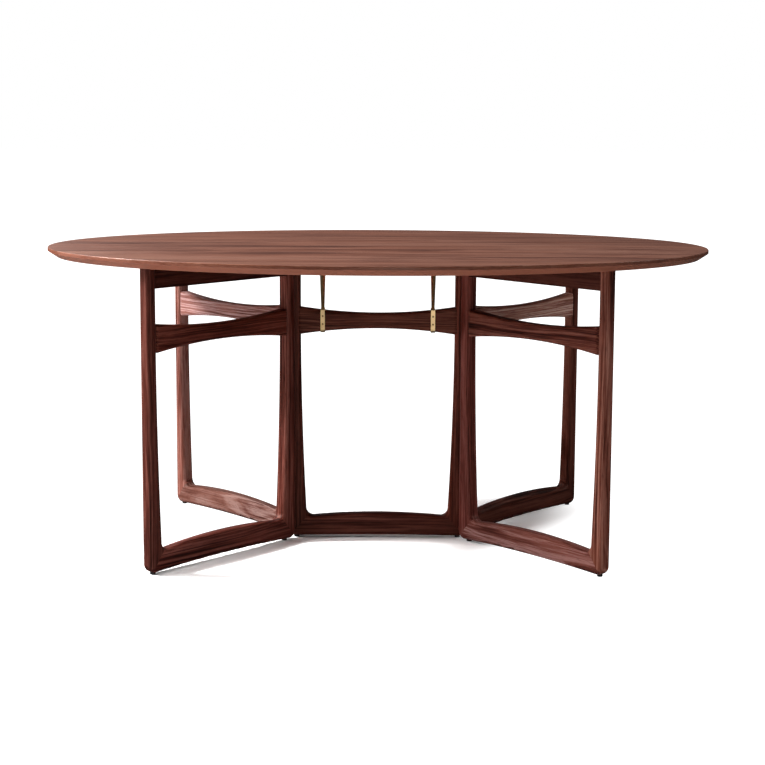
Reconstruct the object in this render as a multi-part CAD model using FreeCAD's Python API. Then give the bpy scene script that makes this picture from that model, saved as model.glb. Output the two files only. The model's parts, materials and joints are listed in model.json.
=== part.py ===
import FreeCAD, Part
import math
import os

# Drop-leaf dining table with an oval top: a centre board on a fixed frame, two hinged leaves
# and four folding gates. Millimetres, +Z up, X along the table, the origin on the floor under
# the middle of the top.

V = FreeCAD.Vector

# Top
top_length = 1610.0
top_width = 1200.0
top_height = 730.0
top_thickness = 22.0
top_edge_band = 8.0            # upright part of the edge, above the bevel
top_bevel_inward = 21.0        # how far the bevel under the edge reaches inward
top_arris_radius = 2.0
centre_board_width = 360.0

# Rule joint between the centre board and a leaf
seam_lip = 4.0                 # upright part of the joint, below the top face
rule_pin_height = 3.0          # the joint's axis above the underside
seam_gap = 0.6                 # between the upright faces
rule_gap = 0.4                 # between the round and the hollow face

# Frames, all of one thickness
frame_thickness = 34.0
frame_edge_radius = 11.0
frame_outer_radius = 20.0      # bottom corners
frame_inner_radius = 18.0
foot_height = 4.0              # underside of the wood above the floor
lower_rail_height = 50.0       # at its ends
taper_drop = 148.0             # the posts widen from here down, below the underside of the top
mid_growth_share = 0.25        # of the widening, halfway down
centre_frame_width = 442.0
centre_post_top_width = 31.0
centre_post_foot_width = 45.0
centre_rail_top_rise = 9.5
centre_rail_under_rise = 3.0
centre_glide_inset = 19.5
gate_width = 496.0
gate_post_top_width = 30.0
gate_post_foot_width = 46.5
gate_leg_top_width = 26.7
gate_leg_foot_width = 38.5
gate_rail_top_rise = 12.0
gate_rail_under_rise = 6.0
gate_post_glide_inset = 27.0
gate_leg_glide_inset = 17.7
gate_top_clearance = 0.3       # between a gate and the leaf above it

# Mitred corners
tongue_thickness = 10.0
tongue_depth = 12.0
tongue_width = 16.0

# Upper rails
top_rail_height = 48.0
top_rail_thickness = 24.0
stretcher_drop = 162.0         # the stretcher's middle line below the underside of the top
stretcher_thickness = 33.0
stretcher_mid_height = 38.0
stretcher_end_height = 68.0
stretcher_edge_radius = 8.5
scribe = 1.5                   # how far a rail's blank runs into the post that it is fitted to
top_rail_scribe = 3.0
tenon_thickness = 10.0
tenon_length = 18.0
tenon_root = 12.0              # part of the tenon inside its own rail
tenon_shoulder = 13.0          # above and below a stretcher's tenon
top_tenon_shoulder = 8.0

# Glides
glide_radius = 6.5
glide_let_in = 2.0
glide_stem_radius = 3.0
glide_stem_length = 12.0
glide_edge = 0.8

# Gates: hinge axes and the angles at which they stand open
gate_angle = 50.8
rear_left_short_of_stop = 1.2  # degrees that the rear left gate stands off its stop block
post_to_gate = 5.0             # from the centre post to a folded gate
fold_gap = 24.0                # between the front and the rear gate when folded

# Butt hinges of the gates
butt_height = 60.0
butt_plate = 1.8
butt_knuckle_radius = 4.0
butt_pin_radius = 1.6
butt_gate_reach = 18.0
butt_post_reach = 5.0          # past the middle of the centre post
butt_screw_rise = 18.0         # from the hinge's middle to each screw
butt_gate_screw_inset = 11.5
butt_cap_radius = 3.4
butt_cap_height = 2.0
front_butt_rise = 96.0          # lower hinges, above the lower rail: their middles
rear_butt_rise = 186.0
front_butt_over_stretcher = 64.0    # upper hinges, from the stretcher's middle line
rear_butt_under_stretcher = 96.0

# Table hinges of the leaves
leaf_hinge_spacing = 520.0
leaf_hinge_width = 40.0
leaf_hinge_plate = 2.0
leaf_knuckle_radius = 3.0
leaf_pin_radius = 1.25
board_plate_reach = 28.0
leaf_plate_reach = 56.0
leaf_plate_near_screw = 26.0
leaf_plate_far_screw = 46.0
board_plate_screw = 16.0
leaf_screw_half_spacing = 12.0
lift_room = 0.8                # over the leaf's plate, in the centre board

# Clearances and screws
running_gap = 0.3
pin_clearance = 0.05
screw_head_radius = 3.0
screw_shank_radius = 1.5
screw_length = 14.0
screw_tip = 1.5
screw_slot_width = 0.8
screw_slot_depth = 0.7
strap_screw_head_radius = 2.6
strap_screw_shank_radius = 1.3
board_screw_spacing = 110.0
board_screw_head_radius = 4.5
board_screw_head_height = 3.0
board_screw_shank_radius = 2.5
board_screw_bite = 14.0        # into the centre board
board_screw_bore_radius = 5.5
board_screw_bore_depth = 22.0

# Brass V straps on the centre frame
strap_offset = 135.8           # from the middle of the table
strap_width = 10.5
strap_arm_width = 7.0
strap_thickness = 1.6
strap_rise = 0.5               # the strap's top above the stretcher
strap_under_gap = 0.1          # below the stretcher's lowest point inside the strap
strap_bend_radius = 6.0
strap_pad_length = 20.0
strap_pad_inset = 10.0         # from the pad's end to the joint with the leaf
strap_screw_drops = (16.0, 35.5)   # below the strap's top

# Stop blocks under the leaves
block_from_hinge = 330.0
block_length = 50.0
block_width = 14.0
block_height = 10.0
block_edge_radius = 2.0

overrun = 10.0                 # of a cutting tool past the wood
touch = 0.01                   # for finding an edge by its place

# Places that follow from the sizes
underside = top_height - top_thickness
half_board = centre_board_width / 2
pin_z = underside + rule_pin_height
rule_radius = top_thickness - seam_lip - rule_pin_height
half_frame = frame_thickness / 2
centre_half = centre_frame_width / 2
hinge_x = centre_half + post_to_gate
hinge_y = -fold_gap / 2
rail_z = foot_height + lower_rail_height
taper_z = underside - taper_drop
stretcher_z = underside - stretcher_drop
front_butt_heights = (rail_z + front_butt_rise, stretcher_z + front_butt_over_stretcher)
rear_butt_heights = (rail_z + rear_butt_rise, stretcher_z - rear_butt_under_stretcher)
strap_pad_end = half_board - strap_pad_inset
strap_pad_start = strap_pad_end - strap_pad_length
corners = {"front_left": (-1, 1), "front_right": (1, 1),
           "rear_left": (-1, -1), "rear_right": (1, -1)}
open_angles = {name: gate_angle for name in corners}
open_angles["rear_left"] -= rear_left_short_of_stop


def box(low, high):
    size = high - low
    return Part.makeBox(size.x, size.y, size.z, low)


def line(a, b):
    return Part.LineSegment(a, b).toShape()


def arc(a, middle, b):
    return Part.Arc(a, middle, b).toShape()


def polygon(points):
    return Part.Wire([line(a, b) for a, b in zip(points, points[1:] + points[:1])])


def slab_xz(wire, thickness):
    """A solid with its outline in the X-Z plane and its thickness centred on Y."""
    face = Part.Face(wire)
    face.translate(V(0, -thickness / 2, 0))
    return face.extrude(V(0, thickness, 0))


def slab_yz(wire, x_low, x_high):
    """A solid with its outline in the Y-Z plane, from one X to another."""
    face = Part.Face(wire)
    face.translate(V(x_low, 0, 0))
    return face.extrude(V(x_high - x_low, 0, 0))


def cylinder(radius, length, base, direction):
    return Part.makeCylinder(radius, length, base, direction)


def joined(shapes):
    first, *rest = shapes
    return first.fuse(rest).removeSplitter() if rest else first


def aimed(shape, at, direction):
    """A shape made along +Z, moved to a place and turned to a direction."""
    turn = FreeCAD.Rotation(V(0, 0, 1), direction)
    return shape.transformed(FreeCAD.Placement(at, turn).toMatrix(), True)


def mirrored(shape, side_x, side_y):
    """A shape of the front right corner, taken to the corner with the given signs."""
    if side_x < 0:
        shape = shape.mirror(V(0, 0, 0), V(1, 0, 0))
    if side_y < 0:
        shape = shape.mirror(V(0, 0, 0), V(0, 1, 0))
    return shape


def upright_corner(shape, x, z):
    """Edges along Y through a corner of an outline in the X-Z plane."""
    return [e for e in shape.Edges
            if all(abs(v.X - x) < touch and abs(v.Z - z) < touch for v in e.Vertexes)]


def face_edges(shape, half_thickness, top):
    """The outline's edges on the front and the back face, without those at the top."""
    found = []
    for edge in shape.Edges:
        on_face = all(abs(abs(v.Y) - half_thickness) < touch for v in edge.Vertexes)
        across = abs(edge.Vertexes[0].Y - edge.Vertexes[-1].Y) > touch
        at_top = all(abs(v.Z - top) < touch for v in edge.Vertexes)
        if on_face and not across and not at_top:
            found.append(edge)
    return found


# Screws

def screw_body(head_radius, shank_radius, length):
    """A countersunk screw with its head's face at the origin and its point up."""
    cone = head_radius - shank_radius
    points = [V(0, 0, 0), V(head_radius, 0, 0), V(shank_radius, 0, cone),
              V(shank_radius, 0, length - screw_tip), V(0, 0, length)]
    return Part.Face(polygon(points)).revolve(V(0, 0, 0), V(0, 0, 1), 360)


def slotted(screw, head_radius):
    half_width = screw_slot_width / 2
    return screw.cut(box(V(-head_radius, -half_width, 0), V(head_radius, half_width, screw_slot_depth)))


def screw_set(places, direction, head_radius=screw_head_radius, shank_radius=screw_shank_radius):
    """Finished screws and the plain bodies that their holes are cut with."""
    body = screw_body(head_radius, shank_radius, screw_length)
    finished = slotted(body, head_radius)
    return ([aimed(finished, at, direction) for at in places],
            [aimed(body, at, direction) for at in places])


# Frames

def frame_blank(width, near, far, top_rise, under_rise, top):
    """U-shaped blank of two posts and a lower rail, before it is cut at the mitres."""
    near_top, near_foot = near
    far_top, far_foot = far
    middle = width / 2
    half_way = (taper_z + rail_z) / 2
    near_mid = near_top + (near_foot - near_top) * mid_growth_share
    far_mid = far_top + (far_foot - far_top) * mid_growth_share
    edges = [
        line(V(0, 0, top), V(0, 0, foot_height)),
        arc(V(0, 0, foot_height), V(middle, 0, foot_height + under_rise), V(width, 0, foot_height)),
        line(V(width, 0, foot_height), V(width, 0, top)),
        line(V(width, 0, top), V(width - far_top, 0, top)),
        line(V(width - far_top, 0, top), V(width - far_top, 0, taper_z)),
        arc(V(width - far_top, 0, taper_z), V(width - far_mid, 0, half_way), V(width - far_foot, 0, rail_z)),
        arc(V(width - far_foot, 0, rail_z), V(middle, 0, rail_z + top_rise), V(near_foot, 0, rail_z)),
        arc(V(near_foot, 0, rail_z), V(near_mid, 0, half_way), V(near_top, 0, taper_z)),
        line(V(near_top, 0, taper_z), V(near_top, 0, top)),
        line(V(near_top, 0, top), V(0, 0, top))]
    blank = slab_xz(Part.Wire(edges), frame_thickness)
    outer = upright_corner(blank, 0, foot_height) + upright_corner(blank, width, foot_height)
    blank = blank.makeFillet(frame_outer_radius, outer)
    inner = upright_corner(blank, near_foot, rail_z) + upright_corner(blank, width - far_foot, rail_z)
    blank = blank.makeFillet(frame_inner_radius, inner)
    return blank.makeFillet(frame_edge_radius, face_edges(blank, half_frame, top))


def mitre(outer, inner, side, top):
    """The post's side of a mitre, and the tongue that the lower rail has in it; side is 1 or -1."""
    along = (inner - outer).normalize()
    into_post = V(-along.z * side, 0, along.x * side)
    start = outer - along * overrun
    end = inner + along * frame_inner_radius
    back = outer.x - side * overrun
    region = slab_xz(polygon([start, end, V(end.x, 0, top + overrun), V(back, 0, top + overrun),
                              V(back, 0, start.z)]), frame_thickness + overrun)
    centre = (outer + inner) / 2
    low = centre - along * (tongue_width / 2)
    high = centre + along * (tongue_width / 2)
    tongue = slab_xz(polygon([low, high, high + into_post * tongue_depth, low + into_post * tongue_depth]),
                     tongue_thickness)
    return region, tongue


def bow(x_low, x_high):
    """Upper stretcher, thin in the middle and deep at the ends, rounded all round."""
    middle = (x_low + x_high) / 2
    mid = stretcher_mid_height / 2
    end = stretcher_end_height / 2
    z = stretcher_z
    edges = [
        arc(V(x_low, 0, z + end), V(middle, 0, z + mid), V(x_high, 0, z + end)),
        line(V(x_high, 0, z + end), V(x_high, 0, z - end)),
        arc(V(x_high, 0, z - end), V(middle, 0, z - mid), V(x_low, 0, z - end)),
        line(V(x_low, 0, z - end), V(x_low, 0, z + end))]
    blank = slab_xz(Part.Wire(edges), stretcher_thickness)
    return blank.makeFillet(stretcher_edge_radius, blank.Edges)


def tenons(x_low, x_high, z_low, z_high):
    """The two tenons of a rail whose shoulders are at the given places."""
    half = tenon_thickness / 2
    return [box(V(x_low - tenon_length, -half, z_low), V(x_low + tenon_root, half, z_high)),
            box(V(x_high - tenon_root, -half, z_low), V(x_high + tenon_length, half, z_high))]


def glide(x):
    """A glide with its stem, its face on the floor."""
    disc = cylinder(glide_radius, foot_height + glide_let_in, V(x, 0, 0), V(0, 0, 1))
    disc = disc.makeChamfer(glide_edge, [e for e in disc.Edges if all(abs(v.Z) < touch for v in e.Vertexes)])
    stem = cylinder(glide_stem_radius, glide_stem_length, V(x, 0, foot_height + glide_let_in), V(0, 0, 1))
    return joined([disc, stem])


def frame_pieces(width, near, far, rises, glide_places, top):
    """All wooden pieces of one frame and its glides, from X = 0, with its middle plane at Y = 0."""
    blank = frame_blank(width, near, far, *rises, top)
    near_region, near_tongue = mitre(V(0, 0, foot_height), V(near[1], 0, rail_z), 1, top)
    far_region, far_tongue = mitre(V(width, 0, foot_height), V(width - far[1], 0, rail_z), -1, top)
    near_post = blank.common(near_region)
    far_post = blank.common(far_region)
    glides = [glide(x) for x in glide_places]
    lower_rail = blank.cut([near_region, far_region]).fuse([near_tongue, far_tongue]).cut(glides)
    x_low = near[0]
    x_high = width - far[0]
    stretcher = bow(x_low - scribe, x_high + scribe).cut([near_post, far_post])
    tenon_low = stretcher_z - stretcher_end_height / 2 + tenon_shoulder
    tenon_high = stretcher_z + stretcher_end_height / 2 - tenon_shoulder
    stretcher_tenons = tenons(x_low, x_high, tenon_low, tenon_high)
    rail_low = underside - top_rail_height
    half_rail = top_rail_thickness / 2
    top_rail = box(V(x_low - top_rail_scribe, -half_rail, rail_low),
                   V(x_high + top_rail_scribe, half_rail, top)).cut([near_post, far_post])
    rail_tenons = tenons(x_low, x_high, rail_low + top_tenon_shoulder, underside - top_tenon_shoulder)
    mortises = stretcher_tenons + rail_tenons + [near_tongue, far_tongue]
    return {"near_post": near_post.cut(mortises).removeSplitter(),
            "far_post": far_post.cut(mortises).removeSplitter(),
            "lower_rail": lower_rail.removeSplitter(),
            "stretcher": joined([stretcher] + stretcher_tenons),
            "top_rail": joined([top_rail] + rail_tenons),
            "glides": glides}


# Hinges

def thirds(low, high):
    """The outer two and the middle stretch of a hinge's barrel, a running gap apart."""
    step = (high - low) / 3
    outer = [(low, low + step - running_gap / 2), (high - step + running_gap / 2, high)]
    return outer, (low + step + running_gap / 2, high - step - running_gap / 2)


def barrel(radius, stretch, place, axis, bore):
    """One knuckle of a hinge, with its bore."""
    low, high = stretch
    base = place + axis * low
    return (cylinder(radius, high - low, base, axis), cylinder(bore, high - low, base, axis))


def hinge_half(plate, stretches, others, radius, place, axis, bore, notch):
    """A hinge plate with its own knuckles, cut square, clear of the other half's knuckles."""
    own = [barrel(radius, stretch, place, axis, bore) for stretch in stretches]
    bores = [hole for _, hole in own]
    gaps = [aimed(box(V(-notch, -notch, -running_gap), V(notch, notch, high - low + running_gap)),
                  place + axis * low, axis) for low, high in others]
    half = plate.cut(gaps).fuse([knuckle for knuckle, _ in own])
    return half.cut(bores).removeSplitter()


def butt_hinge(z):
    """Plates, pin and screws of one butt hinge at a front right gate, the gate still folded."""
    low = z - butt_height / 2
    high = z + butt_height / 2
    outer, middle = thirds(low, high)
    place = V(hinge_x, hinge_y, 0)
    up = V(0, 0, 1)
    post_plate = box(V(centre_half, hinge_y, low), V(centre_half + butt_plate, butt_post_reach, high))
    gate_plate = box(V(hinge_x, hinge_y, low), V(hinge_x + butt_gate_reach, hinge_y + butt_plate, high))
    notch = post_to_gate + running_gap
    post_half = hinge_half(post_plate, outer, [middle], butt_knuckle_radius, place, up,
                           butt_pin_radius, notch)
    gate_half = hinge_half(gate_plate, [middle], outer, butt_knuckle_radius, place, up,
                           butt_pin_radius + pin_clearance, notch)
    pin = joined([cylinder(butt_pin_radius, butt_height, V(hinge_x, hinge_y, low), up),
                  cylinder(butt_cap_radius, butt_cap_height, V(hinge_x, hinge_y, high), up)])
    heights = (z - butt_screw_rise, z + butt_screw_rise)
    post_screws = screw_set([V(centre_half + butt_plate, 0, h) for h in heights], V(-1, 0, 0))
    gate_screws = screw_set([V(hinge_x + butt_gate_screw_inset, hinge_y + butt_plate, h) for h in heights],
                            V(0, -1, 0))
    return {"post_plate": post_half.cut(post_screws[1]), "gate_plate": gate_half.cut(gate_screws[1]),
            "pin": pin, "post_screws": post_screws, "gate_screws": gate_screws}


def leaf_hinge(x):
    """Plates, pin, screws and wood cuts of one table hinge of the rear leaf."""
    low = x - leaf_hinge_width / 2
    high = x + leaf_hinge_width / 2
    outer, middle = thirds(low, high)
    place = V(0, half_board, pin_z)
    axis = V(1, 0, 0)
    plate_top = underside + leaf_hinge_plate
    board_plate = box(V(low, half_board - board_plate_reach, underside), V(high, half_board, plate_top))
    leaf_plate = box(V(low, half_board, underside), V(high, half_board + leaf_plate_reach, plate_top))
    notch = leaf_knuckle_radius + running_gap
    board_half = hinge_half(board_plate, outer, [middle], leaf_knuckle_radius, place, axis,
                            leaf_pin_radius, notch)
    leaf_half = hinge_half(leaf_plate, [middle], outer, leaf_knuckle_radius, place, axis,
                           leaf_pin_radius + pin_clearance, notch)
    pin = cylinder(leaf_pin_radius, leaf_hinge_width, V(low, half_board, pin_z), axis)
    across = (x - leaf_screw_half_spacing, x + leaf_screw_half_spacing)
    up = V(0, 0, 1)
    board_screws = screw_set([V(s, half_board - board_plate_screw, underside) for s in across], up)
    leaf_screws = screw_set([V(s, half_board + y, underside)
                             for y in (leaf_plate_near_screw, leaf_plate_far_screw) for s in across], up)
    rule_foot = half_board + rule_radius + rule_gap
    board_cuts = [
        box(V(low, half_board - board_plate_reach, underside - overrun), V(high, half_board, plate_top)),
        box(V(low - running_gap, half_board, underside - overrun),
            V(high + running_gap, rule_foot, plate_top + lift_room)),
        cylinder(leaf_knuckle_radius + running_gap, leaf_hinge_width + running_gap * 2,
                 V(low - running_gap, half_board, pin_z), axis),
        box(V(low - running_gap, half_board - leaf_knuckle_radius - running_gap, underside - overrun),
            V(high + running_gap, half_board + leaf_knuckle_radius + running_gap, pin_z))]
    leaf_cut = box(V(low, half_board, underside - overrun),
                   V(high, half_board + leaf_plate_reach, plate_top))
    return {"board_plate": board_half.cut(board_screws[1]), "leaf_plate": leaf_half.cut(leaf_screws[1]),
            "pin": pin, "board_screws": board_screws[0], "leaf_screws": leaf_screws[0],
            "board_cuts": board_cuts + board_screws[1], "leaf_cuts": [leaf_cut] + leaf_screws[1]}


# Top

def oval_wire(inset, z):
    oval = Part.Ellipse(V(0, 0, z), top_length / 2 - inset, top_width / 2 - inset)
    return Part.Wire([oval.toShape()])


def oval_top():
    """The whole top: an upright band, an arris above it and a bevel under it."""
    band_z = top_height - top_edge_band
    band = Part.Face(oval_wire(0, band_z)).extrude(V(0, 0, top_edge_band))
    rim = [e for e in band.Edges if all(abs(v.Z - top_height) < touch for v in e.Vertexes)]
    band = band.makeFillet(top_arris_radius, rim)
    bevel = Part.makeLoft([oval_wire(top_bevel_inward, underside), oval_wire(0, band_z)], True, True)
    return joined([band, bevel])


def rule_section(gap_upright, gap_round, outward, sides):
    """Outline in the Y-Z plane on one side of the rule joint, on each of the given sides of the table."""
    radius = rule_radius + gap_round
    face = half_board + gap_upright
    meet = pin_z + math.sqrt(radius ** 2 - gap_upright ** 2)
    half = math.sqrt(0.5)
    middle = V(0, half_board + radius * half, pin_z + radius * half)
    foot = half_board + radius
    low = underside - overrun
    high = top_height + overrun
    edges = [line(V(0, face, high), V(0, face, meet)), arc(V(0, face, meet), middle, V(0, foot, pin_z)),
             line(V(0, foot, pin_z), V(0, foot, low)), line(V(0, foot, low), V(0, outward, low)),
             line(V(0, outward, low), V(0, outward, high)), line(V(0, outward, high), V(0, face, high))]
    reach = top_length / 2 + overrun
    solid = slab_yz(Part.Wire(edges), -reach, reach)
    return [mirrored(solid, 1, side) for side in sides]


def top_boards():
    """Centre board and the two leaves, before their hinges are let in."""
    whole = oval_top()
    board = whole.common(joined(rule_section(0, 0, 0, (1, -1))))
    rear, front = rule_section(seam_gap, rule_gap, top_width / 2 + overrun, (1, -1))
    return board, whole.common(rear), whole.common(front)


def stop_block():
    """A block under the leaf that an open front right gate stands against, in the gate's folded place."""
    front = hinge_y - half_frame - top_rail_thickness / 2 - running_gap
    block = box(V(hinge_x + block_from_hinge, front - block_width, underside - block_height),
                V(hinge_x + block_from_hinge + block_length, front, underside))
    lower = [e for e in block.Edges if all(abs(v.Z - underside + block_height) < touch for v in e.Vertexes)]
    return block.makeFillet(block_edge_radius, lower)


# V straps

def strip(points, thickness):
    """Outline in the Y-Z plane of a strip of one thickness to the left of an open path, with square ends."""
    offset = []
    for i, point in enumerate(points):
        before = (point - points[i - 1]).normalize() if i else None
        after = (points[i + 1] - point).normalize() if i + 1 < len(points) else None
        before = before or after
        after = after or before
        sum_of_both = before + after
        square = V(0, -sum_of_both.z, sum_of_both.y).normalize()
        shrink = square.dot(V(0, -before.z, before.y))
        offset.append(point + square * (thickness / shrink))
    return polygon(points + offset[::-1])


def v_strap():
    """A strap under the centre stretcher with its two arms up to the centre board, and its screws."""
    half_span = centre_half - centre_post_top_width + scribe
    sag = (stretcher_end_height - stretcher_mid_height) / 2
    deepest = stretcher_mid_height / 2 + sag * ((strap_offset + strap_width / 2) / half_span) ** 2
    face = stretcher_thickness / 2
    low = stretcher_z - deepest - strap_under_gap
    high = stretcher_z + deepest + strap_rise
    pad_z = underside - strap_thickness
    rear = [V(0, face, low), V(0, face, high), V(0, strap_pad_start, underside),
            V(0, strap_pad_end, underside)]
    front = [V(0, -p.y, p.z) for p in rear][::-1]
    section = strip((front + rear)[::-1], strap_thickness)
    x_low = strap_offset - strap_width / 2
    x_high = strap_offset + strap_width / 2
    solid = slab_yz(section, x_low, x_high)
    under = [e for e in solid.Edges if abs(e.Vertexes[0].X - e.Vertexes[-1].X) > touch
             and e.Vertexes[0].Z < low + strap_thickness]
    solid = solid.makeFillet(strap_bend_radius, under)
    waist = (strap_width - strap_arm_width) / 2
    arm_top = pad_z - strap_thickness
    arm_foot = high + strap_thickness
    reach = strap_pad_end + overrun
    sides = [box(V(x_low, -reach, arm_foot), V(x_low + waist, reach, arm_top)),
             box(V(x_high - waist, -reach, arm_foot), V(x_high, reach, arm_top))]
    solid = solid.cut(sides)
    outside = face + strap_thickness
    heights = [high - drop for drop in strap_screw_drops]
    small = (strap_screw_head_radius, strap_screw_shank_radius)
    front_screws = screw_set([V(strap_offset, -outside, h) for h in heights], V(0, 1, 0), *small)
    rear_screws = screw_set([V(strap_offset, outside, h) for h in heights], V(0, -1, 0), *small)
    pad_middle = (strap_pad_start + strap_pad_end) / 2
    pad_screws = screw_set([V(strap_offset, y, pad_z) for y in (-pad_middle, pad_middle)], V(0, 0, 1), *small)
    bodies = front_screws[1] + rear_screws[1] + pad_screws[1]
    return {"strap": solid.cut(bodies), "screws": front_screws[0] + rear_screws[0] + pad_screws[0],
            "stretcher_holes": front_screws[1] + rear_screws[1], "board_holes": pad_screws[1]}


def board_screw(x):
    """A screw through the centre top rail into the centre board: solid, its hole and the counterbore."""
    rail_low = underside - top_rail_height
    seat = rail_low + board_screw_bore_depth
    head = cylinder(board_screw_head_radius, board_screw_head_height, V(x, 0, seat - board_screw_head_height),
                    V(0, 0, 1))
    shank = cylinder(board_screw_shank_radius, underside + board_screw_bite - seat, V(x, 0, seat), V(0, 0, 1))
    bore = cylinder(board_screw_bore_radius, board_screw_bore_depth + overrun, V(x, 0, rail_low - overrun),
                    V(0, 0, 1))
    return joined([head, shank]), shank, bore


# The whole table

def open_out(shape, angle):
    """A shape of a folded front right gate, swung open by an angle."""
    turned = shape.copy()
    turned.rotate(V(hinge_x, hinge_y, 0), V(0, 0, 1), -angle)
    return turned


def gate(name, heights):
    """Nodes of one gate, and the hinge parts that stay on the centre post."""
    side_x, side_y = corners[name]
    top = underside - gate_top_clearance
    pieces = frame_pieces(gate_width, (gate_post_top_width, gate_post_foot_width),
                          (gate_leg_top_width, gate_leg_foot_width),
                          (gate_rail_top_rise, gate_rail_under_rise),
                          (gate_post_glide_inset, gate_width - gate_leg_glide_inset), top)
    shift = V(hinge_x, hinge_y - half_frame, 0)
    hinges = [butt_hinge(z) for z in heights]
    hole_bodies = [body for hinge in hinges for body in hinge["gate_screws"][1]]

    def hung(shape):
        return mirrored(open_out(shape, open_angles[name]), side_x, side_y)

    def placed(shape):
        return hung(shape.translated(shift))

    post = pieces["near_post"].translated(shift).cut(hole_bodies)
    nodes = {"hinge_post": [hung(post)],
             "outer_leg": [placed(pieces["far_post"])],
             "lower_rail": [placed(pieces["lower_rail"])],
             "stretcher": [placed(pieces["stretcher"])],
             "top_rail": [placed(pieces["top_rail"])],
             "glides": [placed(solid) for solid in pieces["glides"]],
             "hinge_plates": [hung(hinge["gate_plate"]) for hinge in hinges],
             "hinge_screws": [hung(screw) for hinge in hinges for screw in hinge["gate_screws"][0]]}
    fixed = {"plates": [mirrored(hinge["post_plate"], side_x, side_y) for hinge in hinges],
             "pins": [mirrored(hinge["pin"], side_x, side_y) for hinge in hinges],
             "screws": [mirrored(s, side_x, side_y) for hinge in hinges for s in hinge["post_screws"][0]],
             "holes": [mirrored(s, side_x, side_y) for hinge in hinges for s in hinge["post_screws"][1]]}
    return {f"{name}_gate_{piece}": solids for piece, solids in nodes.items()}, fixed


def centre_frame(fixed_parts, strap_sides, board_screws):
    """Nodes of the fixed frame under the centre board."""
    post = (centre_post_top_width, centre_post_foot_width)
    pieces = frame_pieces(centre_frame_width, post, post, (centre_rail_top_rise, centre_rail_under_rise),
                          (centre_glide_inset, centre_frame_width - centre_glide_inset), underside)
    shift = V(-centre_half, 0, 0)
    moved = {name: piece.translated(shift) for name, piece in pieces.items() if name != "glides"}
    holes = [body for fixed in fixed_parts for body in fixed["holes"]]
    stretcher_holes = [body for side in strap_sides for body in side["stretcher_holes"]]
    rail_holes = [shape for _, shank, bore in board_screws for shape in (shank, bore)]
    return {"centre_post_left": [moved["near_post"].cut(holes)],
            "centre_post_right": [moved["far_post"].cut(holes)],
            "centre_lower_rail": [moved["lower_rail"]],
            "centre_stretcher": [moved["stretcher"].cut(stretcher_holes)],
            "centre_top_rail": [moved["top_rail"].cut(rail_holes)],
            "centre_glides": [solid.translated(shift) for solid in pieces["glides"]],
            "gate_hinge_post_plates": [solid for fixed in fixed_parts for solid in fixed["plates"]],
            "gate_hinge_pins": [solid for fixed in fixed_parts for solid in fixed["pins"]],
            "gate_hinge_post_screws": [solid for fixed in fixed_parts for solid in fixed["screws"]]}


def strap_on(side):
    """The V strap of one end of the frame; side is 1 for the right and -1 for the left."""
    return {name: [mirrored(s, side, 1) for s in made] if isinstance(made, list) else mirrored(made, side, 1)
            for name, made in v_strap().items()}


def top_nodes(strap_sides, board_screws):
    """Nodes of the top: boards, table hinges and stop blocks."""
    board, rear, front = top_boards()
    hinges = [leaf_hinge(x) for x in (-leaf_hinge_spacing, 0, leaf_hinge_spacing)]

    def both(key):
        return [mirrored(s, 1, side) for side in (1, -1) for hinge in hinges for s in hinge[key]]

    def one(key, side):
        return [mirrored(hinge[key], 1, side) for hinge in hinges]

    board_cuts = both("board_cuts") + [body for side in strap_sides for body in side["board_holes"]]
    board_cuts += [shank for _, shank, _ in board_screws]
    leaf_cuts = [s for hinge in hinges for s in hinge["leaf_cuts"]]
    leaf_screws = [s for hinge in hinges for s in hinge["leaf_screws"]]
    block = open_out(stop_block(), gate_angle)
    return {"centre_board": [board.cut(board_cuts)],
            "leaf_rear": [rear.cut(leaf_cuts)],
            "leaf_front": [front.cut([mirrored(s, 1, -1) for s in leaf_cuts])],
            "leaf_hinge_board_plates": one("board_plate", 1) + one("board_plate", -1),
            "leaf_hinge_pins": one("pin", 1) + one("pin", -1),
            "leaf_hinge_board_screws": both("board_screws"),
            "leaf_rear_hinge_plates": one("leaf_plate", 1),
            "leaf_front_hinge_plates": one("leaf_plate", -1),
            "leaf_rear_hinge_screws": leaf_screws,
            "leaf_front_hinge_screws": [mirrored(s, 1, -1) for s in leaf_screws],
            "leaf_front_stop_blocks": [mirrored(block, side, 1) for side in (1, -1)],
            "leaf_rear_stop_blocks": [mirrored(block, side, -1) for side in (1, -1)]}


def table():
    nodes = {}
    fixed_parts = []
    for name in corners:
        heights = front_butt_heights if name.startswith("front") else rear_butt_heights
        gate_nodes, fixed = gate(name, heights)
        nodes.update(gate_nodes)
        fixed_parts.append(fixed)
    straps = {"left": strap_on(-1), "right": strap_on(1)}
    sides = list(straps.values())
    board_screws = [board_screw(x) for x in (-board_screw_spacing, 0, board_screw_spacing)]
    nodes.update(centre_frame(fixed_parts, sides, board_screws))
    nodes.update(top_nodes(sides, board_screws))
    nodes["strap_left"] = [straps["left"]["strap"]]
    nodes["strap_right"] = [straps["right"]["strap"]]
    nodes["strap_screws"] = [screw for side in sides for screw in side["screws"]]
    nodes["board_screws"] = [screw for screw, _, _ in board_screws]
    return nodes


def export(nodes):
    os.makedirs("parts", exist_ok=True)
    for name, shapes in nodes.items():
        solids = [solid for shape in shapes for solid in shape.Solids]
        whole = solids[0] if len(solids) == 1 else Part.makeCompound(solids)
        whole.exportStep(f"parts/{name}.step")
        valid = all(solid.isValid() for solid in solids)
        print(name, len(solids), "valid" if valid else "NOT VALID")


export(table())
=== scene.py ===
import json
import math

import bmesh
import bpy
from mathutils import Matrix, Vector

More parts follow.
